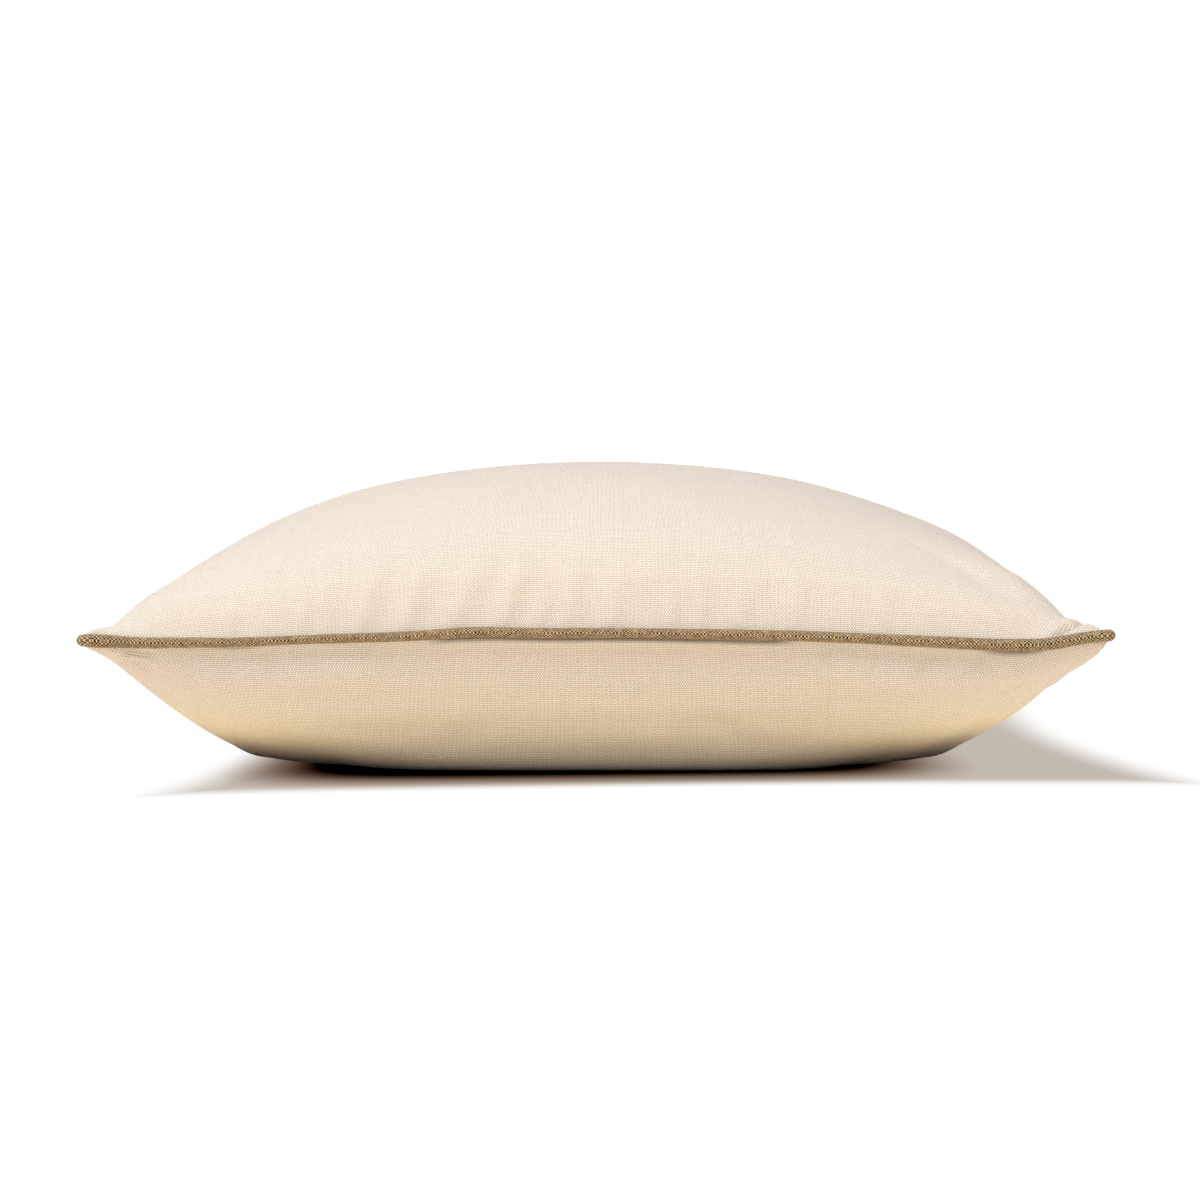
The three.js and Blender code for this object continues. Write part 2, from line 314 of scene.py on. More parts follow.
# The camera: how far it stands in front of the tips, its height, and its framing
IMAGE_PIXELS = 1200
HORIZON_PIXEL = 541
PILLOW_MIDDLE_PIXEL = 596
TIPS_APART_PIXELS = 1043
SENSOR_WIDTH = 36
CAMERA_DISTANCE = 1600 * MM
CAMERA_HEIGHT = 149.3 * MM

# What both canvases share: how their threads cross and sway, how uneven their tone is,
# their slubs and stray specks, and their finish
CROSSING_EASE = 0.25
# The weave heights over which the painted shade in the gaps between threads fades out
GAP_SHADE_EDGE = (0.1, 0.75)
SWAY = {"scale": 25.0, "span": (0.3, 0.7), "reach": 0.4 * MM}
MOTTLE = {"scale": 11.0, "span": (0.25, 0.75), "tone": 0.012}
THREAD_TONE = 0.012
WARP_SEED = 0.5
WEFT_SEED = 900.5
SLUB = {"x_scale": 60, "y_scale": 900, "seed": 1.0, "span": (0.6, 0.78), "tone": 0.02, "relief": 0.5}
SPECK_APART = 34 * MM
SPECK_SIZE = 0.8 * MM
SPECK_CORE = 0.4
SPECK_CHOICE = (0.7, 0.72)
SPECK_COVER = 0.8
BUMP_STRENGTH = 0.6
BUMP_DEPTH = 0.25 * MM
FINISH = {
    "Roughness": 0.9,
    "Specular IOR Level": 0.25,
    "Sheen Weight": 0.12,
    "Sheen Roughness": 0.5,
}

# The two cloths: the colours of their threads, of the painted shade in the gaps between them
# and of the specks, how strongly warp and weft differ where they cross, how uneven the
# crossings are, and their threads' pitches
CREAM = {
    "thread": (0.885, 0.797, 0.712, 1),
    # The gap colour is painted shade between the threads
    "gap": (0.25, 0.18, 0.11, 1),
    "checker": 0.16,
    "uneven": 0.05,
    "speck": (0.7, 0.5, 0.2, 1),
    "warp_pitch": 0.85 * MM,
    "weft_pitch": 1.3 * MM,
}
TAUPE = {
    "thread": (0.385, 0.275, 0.157, 1),
    # The gap colour is painted shade between the threads
    "gap": (0.035, 0.024, 0.012, 1),
    "checker": 0.75,
    "uneven": 0.45,
    "speck": (0.3, 0.2, 0.1, 1),
    "warp_pitch": 1.15 * MM,
    "weft_pitch": 1.0 * MM,
}

# The floor, 14 m wide. The camera sees it white, with a painted soft shadow of the pillow and
# a darker painted contact shade on it. Everything else gets warm light from the floor glowing
# in rings round a patch under the pillow that gives no light: a painted glow that stands in
# for light bounced off the floor. The edges of the rings and of the contact shade are shares of
# their patch's half sizes. The limit on the cast shade's bow keeps shade from coming back far
# out on the floor.
FLOOR_SIDE = 14
FLOOR_GLOW = 1.33
FLOOR_RINGS = [
    {"edge": (1.06, 1.14), "color": (0.05, 0.0, 0.0, 1)},
    {"edge": (1.14, 1.25), "color": (1.12, 0.96, 0.55, 1)},
    {"edge": (1.25, 1.45), "color": (0.9, 0.77, 0.69, 1)},
    {"edge": (1.45, 1.9), "color": (0.92, 0.82, 0.68, 1)},
]
UNDER_SHADE = {"x": 4 * MM, "half_x": 228 * MM, "half_y": 228 * MM, "power": 7}
SHADE_SKEW = 0.114
CAST_SHADE = {"x": 56 * MM, "y": -23 * MM, "narrowing": 1.11, "draw": 22 * MM}
CAST_EDGE = (-16 * MM, 44 * MM)
CAST_BOW_LIMIT = 4
CAST_LEVEL = 0.486
CONTACT_SHADE = {"x": 2 * MM, "half_x": 223 * MM, "half_y": 308 * MM, "power": 6.5}
CONTACT_EDGE = (0.85, 1.17)
SHADE_TINT = (0.84, 1.0, 1.15)

# The lights: their sizes and how far away they are, in metres, and how far they lean from
# straight above to the left and the front, in degrees
AMBIENT_STRENGTH = 0.5
BACKDROP_STRENGTH = 1.1
LIT_PLACE = Vector((0, 0, 80 * MM))
WHITE = (1, 1, 1)
WARM = (1, 0.9, 0.64)
STUDIO_LIGHTS = {
    "key": {"power": 24, "size": (0.8, 0.8), "away": 2.3, "left": 24, "front": 20, "color": WHITE},
    "fill": {"power": 26, "size": (2.6, 0.9), "away": 2.8, "left": 0, "front": 40, "color": WHITE},
    "low_fill": {"power": 5, "size": (2.6, 0.9), "away": 2.8, "left": 0, "front": 85, "color": WARM},
}


# Plans and heights, as in the model


def plan(apex, draw, bend):
    """A square with drawn-in sides: half its width at the tips, their draw, and the bend
    of its corners"""
    return {"apex": apex, "draw": draw, "bend": bend}


SIDE_SLOPE = 4 * SIDE_DRAW / TIP_TO_TIP
SIDE_ANGLE = math.atan(SIDE_SLOPE)
CORNER_HALF_ANGLE = math.pi / 4 - SIDE_ANGLE
BEND_INSET = PIPING_BEND * (1 - math.cos(SIDE_ANGLE) + SIDE_SLOPE * (1 - math.sin(SIDE_ANGLE)))
PIPING_ROUTE = plan(TIP_TO_TIP / 2 - PIPING_RADIUS + BEND_INSET, SIDE_DRAW, PIPING_BEND)
RIM_INSET = PIPING_RADIUS + SEWN_GAP
RIM_APEX = PIPING_ROUTE["apex"] - RIM_INSET / math.sin(CORNER_HALF_ANGLE) / math.sqrt(2)
RIM_DRAW = RIM_APEX - (PIPING_ROUTE["apex"] - SIDE_DRAW - RIM_INSET)
RIM = plan(RIM_APEX, RIM_DRAW, RIM_BEND)


def plan_point(square, u, v):
    """A place in plan, from u and v that run from -1 to 1 across the square"""
    x = u * (square["apex"] - square["draw"] * (1 - v * v) * np.abs(u))
    y = v * (square["apex"] - square["draw"] * (1 - u * u) * np.abs(v))
    return x, y


def smooth_step(low, high, value):
    """A smooth rise from 0 to 1 while the value goes from low to high"""
    t = np.clip((value - low) / (high - low), 0, 1)
    return t * t * (3 - 2 * t)


def bell(value):
    """A bell curve, 1 at 0"""
    return np.exp(-(value**2))


def eased_max(a, b, ease):
    """The larger of two heights, with the fold between them eased over a short width"""
    share = np.clip(0.5 + 0.5 * (b - a) / ease, 0, 1)
    return a * (1 - share) + b * share + ease * share * (1 - share)


def eased_floor(height):
    """A height that comes down on the floor and lies flat on it"""
    eased = (height + FLOOR_EASE) ** 2 / (4 * FLOOR_EASE)
    return np.where(height >= FLOOR_EASE, height, np.where(height <= -FLOOR_EASE, 0, eased))


def corner_value(column, u, v):
    """A corner value at u and v, shared out smoothly between the four corners"""
    total = 0
    for corner in CORNERS:
        share_x = smooth_step(-CORNER_SHARE, CORNER_SHARE, u * corner["x"])
        share_y = smooth_step(-CORNER_SHARE, CORNER_SHARE, v * corner["y"])
        total = total + corner[column] * share_x * share_y
    return total


def along_side(u, v):
    """How far along its side a place lies, from 0 at the side's middle to 1 at a corner"""
    reach = np.maximum(np.abs(u), np.abs(v))
    return np.minimum(np.abs(u), np.abs(v)) / np.maximum(reach, TINY)


def side_waves(rows, u, v):
    """The sum of soft waves along the sides, each with a place, a height and a width"""
    total = 0
    for row in rows:
        turn = row["side"] * math.pi / 2
        along = u * math.cos(turn) + v * math.sin(turn)
        out = u * math.sin(turn) - v * math.cos(turn)
        beside = smooth_step(*WAVE_END, out - np.abs(along))
        away = (along * TIP_TO_TIP / 2 - MM * row["place"]) / (MM * row["width"])
        total = total + MM * row["height"] * bell(away) * beside
    return total


def seam_height(u, v):
    """The height of the seam next to u and v, carried inwards to the middle's level"""
    reach = np.maximum(np.abs(u), np.abs(v))
    along = along_side(u, v)
    in_dip = (1 - np.cos(math.pi * np.minimum(along / DIP_PLACE, 1))) / 2
    in_tip = smooth_step(DIP_PLACE, 1, along)
    side = SEAM_AT_MIDDLE - (SEAM_AT_MIDDLE - SEAM_AT_DIP) * in_dip
    tip_rise = MM * corner_value("tip", u, v) - SEAM_AT_DIP
    at_rim = side + tip_rise * in_tip + side_waves(SEAM_WAVES, u, v)
    return SEAM_INSIDE + (at_rim - SEAM_INSIDE) * reach**SEAM_FADE


def from_rim(u, v):
    """How far in from the rim a place lies"""
    return RIM["apex"] * (1 - np.maximum(np.abs(u), np.abs(v)))


def panel_rise(panel, u, v):
    """How far from the seam's level a panel stands, before its tips are shaped"""
    over = (1 - np.abs(u) ** panel["spread"]) * (1 - np.abs(v) ** panel["spread"])
    filled = np.maximum(over, 0) ** panel["fullness"]
    return panel["rise"] * filled * (1 - np.exp(-from_rim(u, v) / panel["wedge"]))


def back_drop(u, v):
    """How far the back panel hangs: evenly down and in along a side, rounded at a corner"""
    in_corner = smooth_step(BACK_CORNER_START, BACK_CORNER_END, along_side(u, v))
    rounded = panel_rise(BACK_PANEL, u, v)
    return rounded * in_corner + BACK_SIDE_FALL * from_rim(u, v) * (1 - in_corner)


def from_tip(u, v):
    """The distance from the nearest tip, measured along the diagonal"""
    x, y = plan_point(RIM, u, v)
    return (2 * PIPING_ROUTE["apex"] - np.abs(x) - np.abs(y)) / math.sqrt(2)


def tip_share(u, v, ease):
    """How much of a tip's height is reached at a place, from 0 at the rim"""
    return 1 - np.exp(-from_rim(u, v) / ease)


def fade_past(distance, start, length):
    """1 up to a start, and a soft fall to 0 past it"""
    return np.exp(-np.maximum(distance - start, 0) / length)


def tip_bulge(column, u, v):
    """How far the panels bulge out over and under the piping at a tip, along x and along y"""
    inwards = from_rim(u, v) / TIP_BULGE_START
    near_tip = fade_past(from_tip(u, v), TIP_BULGE_FADE, TIP_BULGE_FADE)
    return MM * corner_value(column, u, v) * inwards * np.exp(1 - inwards) * near_tip


def lumps(rows, u, v):
    """The height of the filling's lumps and hollows"""
    x, y = plan_point(RIM, u, v)
    total = 0
    for row in rows:
        x_away = (x - MM * row["x"]) / (MM * row["size_x"])
        y_away = (y - MM * row["y"]) / (MM * row["size_y"])
        total = total + MM * row["height"] * np.exp(-(x_away**2) - y_away**2)
    return total


def front_height(u, v):
    """The height of the front panel over the floor"""
    distance = from_tip(u, v)
    ramp = np.clip((distance - MM * corner_value("crown", u, v)) / CROWN_RAMP, 0, 1)
    leaning = u - CROWN_LEAN * (1 - u * u)
    filled = panel_rise(FRONT_PANEL, leaning, v) + lumps(FRONT_LUMPS, u, v)
    crown = filled * np.sin(ramp * math.pi / 2)
    ear_share = tip_share(u, v, MM * corner_value("ear_ease", u, v))
    ear = MM * corner_value("ear", u, v) * ear_share
    tip = ear * fade_past(distance, TIP_LENGTH, TIP_FADE)
    return seam_height(u, v) + RIM_HEIGHT / 2 + eased_max(tip, crown, FRONT_FOLD_EASE)


def back_height(u, v):
    """The height of the back panel over the floor"""
    distance = from_tip(u, v)
    slope = corner_value("slope", u, v)
    tip_depth = MM * corner_value("depth", u, v) + slope * np.minimum(distance, TIP_LENGTH)
    tip = tip_depth * tip_share(u, v, BACK_TIP_EASE) * fade_past(distance, LOWER_TIP_END, TIP_FADE)
    drop = eased_max(tip, back_drop(u, v) + lumps(BACK_LUMPS, u, v), BACK_FOLD_EASE)
    return eased_floor(seam_height(u, v) - RIM_HEIGHT / 2 - drop)


# The cover


def panel_places():
    """The places of a panel's lines of points, from -1 to 1"""
    near = NEAR_RIM / RIM["apex"]
    inner = np.linspace(near - 1, 1 - near, PANEL_STEPS - 2 * NEAR_RIM_STEPS + 1)
    outer = 1 - near * (1 - np.arange(1, NEAR_RIM_STEPS + 1) / NEAR_RIM_STEPS) ** NEAR_RIM_POWER
    return np.concatenate([-outer[::-1], inner, outer])


def with_round_corners(u, v, bend):
    """The square's four corner cells, drawn in to quarter circles"""
    start = 1 - bend
    p = np.clip((np.abs(u) - start) / bend, 0, 1)
    q = np.clip((np.abs(v) - start) / bend, 0, 1)
    round_u = np.sign(u) * (start + bend * p * np.sqrt(1 - q * q / 2))
    round_v = np.sign(v) * (start + bend * q * np.sqrt(1 - p * p / 2))
    in_corner = (p > 0) & (q > 0)
    return np.where(in_corner, round_u, u), np.where(in_corner, round_v, v)


class Panel:
    """One panel of the cover, as a grid of points whose rows run along x"""

    def __init__(self, facing, places, edge_height=RIM_HEIGHT / 2):
        self.facing = facing
        self.flat_u, self.flat_v = np.meshgrid(places, places)
        u, v = with_round_corners(self.flat_u, self.flat_v, RIM["bend"] / RIM["apex"])
        x, y = plan_point(RIM, u, v)
        z = front_height(u, v) if facing > 0 else back_height(u, v)
        bulge = tip_bulge("over" if facing > 0 else "under", u, v)
        x = x + np.sign(u) * bulge
        y = y + np.sign(v) * bulge
        self.edge = np.maximum(np.abs(self.flat_u), np.abs(self.flat_v)) > 1 - TINY
        z[self.edge] = (seam_height(u, v) + facing * edge_height)[self.edge]
        self.points = np.stack([x, y, z], axis=-1)
        # How much painted shade each point gets in the gaps under the piping
        self.slit_shade = np.zeros(self.edge.shape)

    def normals(self):
        """Unit vectors out of the cloth"""
        along_x = np.gradient(self.points, axis=1)
        along_y = np.gradient(self.points, axis=0)
        normals = self.facing * np.cross(along_x, along_y)
        return normals / np.maximum(np.linalg.norm(normals, axis=2, keepdims=True), TINY)

    def lengths(self):
        """Lengths of cloth along x and along y, from the panel's middle"""
        lengths = []
        for axis in (1, 0):
            steps = np.linalg.norm(np.diff(self.points, axis=axis), axis=2)
            total = np.insert(np.cumsum(steps, axis=axis), 0, 0, axis=axis)
            middle = np.take(total, [total.shape[axis] // 2], axis=axis)
            lengths.append(total - middle)
        return lengths

    def from_side(self, side):
        """Lengths of cloth along the seam of one side, and inwards from it"""
        x, y = self.lengths()
        frames = [
            (x, y - y[:1]),
            (y, x[:, -1:] - x),
            (-x, y[-1:] - y),
            (-y, x - x[:, :1]),
        ]
        return frames[side]


def pucker(along, inwards, row):
    """The height of one pucker: a crest that runs in from the seam between two shallow
    troughs"""
    across = along - MM * row["place"] - inwards * row["lean"] / row["reach"]
    width = MM * row["width"] * (1 + inwards / PUCKER_WIDENING)
    crest = bell(across / width)
    troughs = bell(across / width / PUCKER_TROUGH_WIDTH)
    grown = 1 - np.exp(-inwards / PUCKER_START)
    kept = 1 - smooth_step(PUCKER_FADE, 1, inwards / (MM * row["reach"]))
    return MM * row["height"] * (crest - PUCKER_TROUGH * troughs) * grown * kept


def drawn_puckers(lot, share):
    """Puckers for a side that doesn't show"""
    rows = []
    place = -PUCKERED_LENGTH + lot.uniform(*PUCKER_APART)
    while place < PUCKERED_LENGTH:
        row = {"place": place}
        row["reach"] = lot.uniform(*PUCKER_REACH)
        row["lean"] = lot.uniform(*PUCKER_LEAN)
        row["height"] = share * lot.uniform(*PUCKER_HEIGHT)
        row["width"] = lot.uniform(*PUCKER_WIDTH)
        rows.append(row)
        place += lot.uniform(*PUCKER_APART)
    return rows


def crease(along, inwards, row):
    """The height of one crease along a line of places, below zero in a trough"""
    path = MM * np.array(row["path"])
    away = np.full(along.shape, np.inf)
    for start, end in zip(path[:-1], path[1:]):
        way = end - start
        share = ((along - start[0]) * way[0] + (inwards - start[1]) * way[1]) / way.dot(way)
        share = np.clip(share, 0, 1)
        step = np.hypot(along - start[0] - share * way[0], inwards - start[1] - share * way[1])
        away = np.minimum(away, step)
    return -MM * row["depth"] * bell(away / (MM * row["width"]))


def slit(along, inwards, row):
    """The height of the cloth at a gap under the piping, and how much painted shade the gap gets"""
    begun = smooth_step(0, SLIT_FADE, along - MM * row["start"])
    ended = smooth_step(0, SLIT_FADE, MM * row["end"] - along)
    shown = row["strength"] * begun * ended
    hollow = bell(inwards / SLIT_WIDTH)
    lip = bell((inwards - SLIT_LIP_PLACE) / SLIT_WIDTH)
    shade = np.exp(-((inwards / SLIT_SHADE_REACH) ** SLIT_SHADE_POWER))
    return shown * (SLIT_LIP * lip - SLIT_DEPTH * hollow), shown * shade


def wrinkle(panels):
    """Puckers along the seam, single creases and slits, raised along the cloth's normals, and the slits'
    painted shade
    """
    lot = np.random.default_rng(PUCKER_SEED)
    for name, panel in panels.items():
        height = np.zeros(panel.edge.shape)
        for side in range(4):
            along, inwards = panel.from_side(side)
            rows = drawn_puckers(lot, 1 if name == "front" else BACK_PUCKER_SHARE)
            if side == 0:
                # The side that shows has rows of its own instead of the drawn ones
                rows = PUCKERS if name == "front" else TROUGHS
            for row in rows:
                height += pucker(along, inwards, row)
            for row in CREASES.get((name, side), []):
                height += crease(along, inwards, row)
            for row in SLITS:
                if name == "back" and row["side"] == side:
                    raised, slit_shade = slit(along, inwards, row)
                    height += raised
                    panel.slit_shade += slit_shade
        height[panel.edge] = 0
        panel.points += panel.normals() * height[..., None]
        panel.points[..., 2] = np.maximum(panel.points[..., 2], 0)


def grid_faces(steps, first, face_up):
    """The four-sided faces of a grid whose first point has the index first"""
    index = first + np.arange((steps + 1) ** 2).reshape(steps + 1, steps + 1)
    corners = [index[:-1, :-1], index[:-1, 1:], index[1:, 1:], index[1:, :-1]]
    faces = np.stack([c.ravel() for c in corners], axis=1)
    return faces if face_up else faces[:, ::-1]


def edge_loop(steps, first):
    """The indexes of a grid's outer points, anticlockwise from its first point"""
    index = first + np.arange((steps + 1) ** 2).reshape(steps + 1, steps + 1)
    return np.concatenate([index[0, :-1], index[:-1, -1], index[-1, :0:-1], index[:0:-1, 0]])


def new_mesh(name, points, faces):
    """A new object in the scene, shaded smooth"""
    mesh = bpy.data.meshes.new(name)
    mesh.from_pydata(points.tolist(), [], faces.tolist())
    mesh.shade_smooth()
    piece = bpy.data.objects.new(name, mesh)
    bpy.context.scene.collection.objects.link(piece)
    return piece


def set_uv(piece, name, values):
    """A UV map from one pair of numbers for each corner of each face"""
    layer = piece.data.uv_layers.new(name=name)
    layer.data.foreach_set("uv", values.astype(np.float32).ravel())


def two_grids(steps, rim_shared):
    """The faces of two grids that lie back to back, and for each point its number. The
    second grid's rim has its own points, or those of the first."""
    count = (steps + 1) ** 2
    upper, lower = edge_loop(steps, 0), edge_loop(steps, count)
    faces = np.concatenate([grid_faces(steps, 0, True), grid_faces(steps, count, False)])
    if not rim_shared:
        strip = np.stack([lower, np.roll(lower, -1), np.roll(upper, -1), upper], axis=1)
        return np.concatenate([faces, strip]), np.arange(2 * count)
    number = np.arange(2 * count)
    own = np.ones(2 * count, bool)
    own[lower] = False
    number[own] = np.arange(own.sum())
    number[lower] = number[upper]
    return number[faces], number


def make_bag(panels):
    """A coarse closed bag on both panels' points, with the flat square it was cut to"""
    faces, number = two_grids(BAG_STEPS, rim_shared=True)
    points = np.zeros((number.max() + 1, 3))
    flat = np.zeros(points.shape)
    lying = np.zeros(len(points), bool)
    grids = [panels["front"], panels["back"]]
    points[number] = np.concatenate([grid.points.reshape(-1, 3) for grid in grids])
    flat[number, 0] = np.concatenate([grid.flat_u.ravel() for grid in grids]) * FLAT_SIDE / 2
    flat[number, 1] = np.concatenate([grid.flat_v.ravel() for grid in grids]) * FLAT_SIDE / 2
    resting = [grid.edge | (grid.points[..., 2] < LYING_HEIGHT) for grid in grids]
    lying[number] = np.concatenate([part.ravel() for part in resting])
    bag = new_mesh("bag", points, faces)
    bag.shape_key_add(name="Basis")
    cut = bag.shape_key_add(name="cut")
    cut.data.foreach_set("co", flat.astype(np.float32).ravel())
    cut.value = 0
    held = bag.vertex_groups.new(name="held")
    held.add(np.flatnonzero(lying).tolist(), 1.0, "REPLACE")
    return bag, cut, held, number


def blow_up(panels):
    """How far a gentle pressure moves the points of a coarse bag, as one grid for each panel"""
    bag, cut, held, number = make_bag(panels)
    cloth = bag.modifiers.new("cloth", "CLOTH")
    settings = cloth.settings
    settings.quality = BAG_QUALITY
    settings.mass = BAG_MASS
    settings.tension_stiffness = BAG_STIFFNESS
    settings.compression_stiffness = BAG_STIFFNESS
    settings.shear_stiffness = BAG_SHEAR
    settings.bending_stiffness = BAG_BENDING
    settings.air_damping = BAG_DAMPING
    settings.vertex_group_mass = held.name
    settings.rest_shape_key = cut
    settings.use_pressure = True
    settings.uniform_pressure_force = BAG_PRESSURE
    settings.effector_weights.gravity = 0
    cloth.collision_settings.use_collision = False
    cloth.point_cache.frame_end = BAG_FRAMES
    before = np.zeros(3 * len(bag.data.vertices), np.float32)
    bag.data.vertices.foreach_get("co", before)
    for step in range(1, BAG_FRAMES + 1):
        bpy.context.scene.frame_set(step)
    blown = bag.evaluated_get(bpy.context.evaluated_depsgraph_get()).to_mesh()
    after = np.zeros(before.shape, np.float32)
    blown.vertices.foreach_get("co", after)
    moved = (after - before).reshape(-1, 3)
    length = np.linalg.norm(moved, axis=1, keepdims=True)
    moved *= np.minimum(1, BAG_GIVE / np.maximum(length, TINY))
    bpy.context.scene.frame_set(1)
    bpy.data.objects.remove(bag)
    return moved[number].reshape(2, BAG_STEPS + 1, BAG_STEPS + 1, 3)


def resampler(places, steps):
    """Weights that read a smooth curve through evenly spaced values at any places"""
    at = (places + 1) / 2 * steps
    cell = np.clip(np.floor(at).astype(int), 0, steps - 1)
    t = at - cell
    weights = np.zeros((len(places), steps + 1))
    shares = [
        (-t + 2 * t**2 - t**3) / 2,
        (2 - 5 * t**2 + 3 * t**3) / 2,
        (t + 4 * t**2 - 3 * t**3) / 2,
        (-(t**2) + t**3) / 2,
    ]
    for offset, share in enumerate(shares, start=-1):
        np.add.at(weights, (np.arange(len(places)), np.clip(cell + offset, 0, steps)), share)
    return weights


def spread(values, weights):
    """A grid of vectors weighted along its rows and its columns"""
    return np.einsum("ai,ijk,bj->abk", weights, values, weights)


def fill_out(panels, places):
    """Creases the panels as a cloth bag of the same size creases when it is blown up. The
    swell that it also gets is left out, because the panels are shaped full."""
    even = np.linspace(-1, 1, BAG_STEPS + 1)
    coarse = {"front": Panel(1, even, edge_height=0), "back": Panel(-1, even, edge_height=0)}
    apart = (even[:, None] - even) * RIM["apex"]
    blur = np.exp(-((apart / CREASE_SPREAD) ** 2) / 2)
    blur /= blur.sum(axis=1, keepdims=True)
    weights = resampler(places, BAG_STEPS)
    for panel, moved in zip(panels.values(), blow_up(coarse)):
        creases = spread(moved - spread(moved, blur), weights)
        free = smooth_step(0, HELD_EDGE, from_rim(panel.flat_u, panel.flat_v))
        free = free * smooth_step(LYING_HEIGHT, LYING_EASE, panel.points[..., 2])
        panel.points += free[..., None] * creases


def make_cover():
    """The two panels and the narrow strip between their edges, as one closed mesh"""
    places = panel_places()
    panels = {"front": Panel(1, places), "back": Panel(-1, places)}
    fill_out(panels, places)
    weave = np.stack([np.stack(panel.lengths(), axis=-1) for panel in panels.values()])
    # The back panel's threads follow on well past the front panel's
    weave[1, ..., 0] += 2 * FLAT_SIDE
    wrinkle(panels)
    points = np.concatenate([panel.points.reshape(-1, 3) for panel in panels.values()])
    faces, _ = two_grids(PANEL_STEPS, rim_shared=False)
    cover = new_mesh("pillow_cover", points, faces)
    # The painted shade in the gaps under the piping, kept on the points for the canvas
    slit_shade_map = cover.data.attributes.new("slit", "FLOAT", "POINT")
    slit_shade_map.data.foreach_set("value", np.concatenate([panel.slit_shade.ravel() for panel in panels.values()]))
    set_uv(cover, "weave", weave.reshape(-1, 2)[faces.ravel()])
    square = np.stack([panels["front"].flat_u, panels["front"].flat_v], axis=-1).reshape(-1, 2)
    baked = np.concatenate([square * BAKED_HALF + middle for middle in BAKED_MIDDLES])
    set_uv(cover, "OFBake", baked[faces.ravel()])
    cover.data.set_sharp_from_angle(angle=SHARP_ANGLE)
    return cover


# The piping


def ring_places(side_steps, bend_steps, bend):
    """Places u and v round a square with round corners, anticlockwise, closer together
    towards the corners"""
    rows = []
    for side in range(4):
        turn = side * math.pi / 2
        even = np.linspace(-1, 1, side_steps, endpoint=False)
        along = (0.5 * even + 0.5 * np.sin(even * math.pi / 2)) * (1 - bend)
        angle = np.linspace(0, math.pi / 2, bend_steps, endpoint=False)
        along = np.concatenate([along, 1 - bend + bend * np.sin(angle)])
        out = np.concatenate([np.ones(side_steps), 1 - bend + bend * np.cos(angle)])
        u = along * math.cos(turn) + out * math.sin(turn)
        v = along * math.sin(turn) - out * math.cos(turn)
        rows.append(np.stack([u, v], axis=1))
    return np.concatenate(rows)


def make_piping():
    """A tube along the seam"""
    bend = PIPING_ROUTE["bend"] / PIPING_ROUTE["apex"]
    u, v = ring_places(PIPING_SIDE_STEPS, PIPING_BEND_STEPS, bend).T
    x, y = plan_point(PIPING_ROUTE, u, v)
    route = np.stack([x, y, seam_height(u, v)], axis=1)
    ahead = np.roll(route, -1, axis=0) - np.roll(route, 1, axis=0)
    ahead /= np.linalg.norm(ahead, axis=1, keepdims=True)
    outwards = np.stack([ahead[:, 1], -ahead[:, 0], np.zeros(len(u))], axis=1)
    outwards /= np.linalg.norm(outwards, axis=1, keepdims=True)
    upwards = np.cross(outwards, ahead)
    swell = side_waves(PIPING_SWELLS, u, v)[:, None]
    route += swell * outwards
    angle = np.arange(PIPING_FACETS) * 2 * math.pi / PIPING_FACETS
    around = outwards[:, None] * np.cos(angle)[:, None] + upwards[:, None] * np.sin(angle)[:, None]
    points = route[:, None] + (PIPING_RADIUS + swell)[..., None] * around
    stations = len(u)
    index = np.arange(stations * PIPING_FACETS).reshape(stations, PIPING_FACETS)
    beyond = np.roll(index, -1, axis=0)
    corners = [index, np.roll(index, -1, axis=1), np.roll(beyond, -1, axis=1), beyond]
    faces = np.stack([c.ravel() for c in corners], axis=1)
    piping = new_mesh("piping_welt", points.reshape(-1, 3), faces)
    step_lengths = np.linalg.norm(np.roll(route, -1, axis=0) - route, axis=1)
    along = np.concatenate([[0], np.cumsum(step_lengths)])
    girth = 2 * math.pi * PIPING_RADIUS
    station, facet = np.divmod(index.ravel(), PIPING_FACETS)
    rows = np.stack([station, station, station + 1, station + 1], axis=1)
    columns = np.stack([facet, facet + 1, facet + 1, facet], axis=1)
    weave = np.stack([along[rows], columns * girth / PIPING_FACETS], axis=-1)
    set_uv(piping, "weave", weave.reshape(-1, 2))
    return piping


# Materials


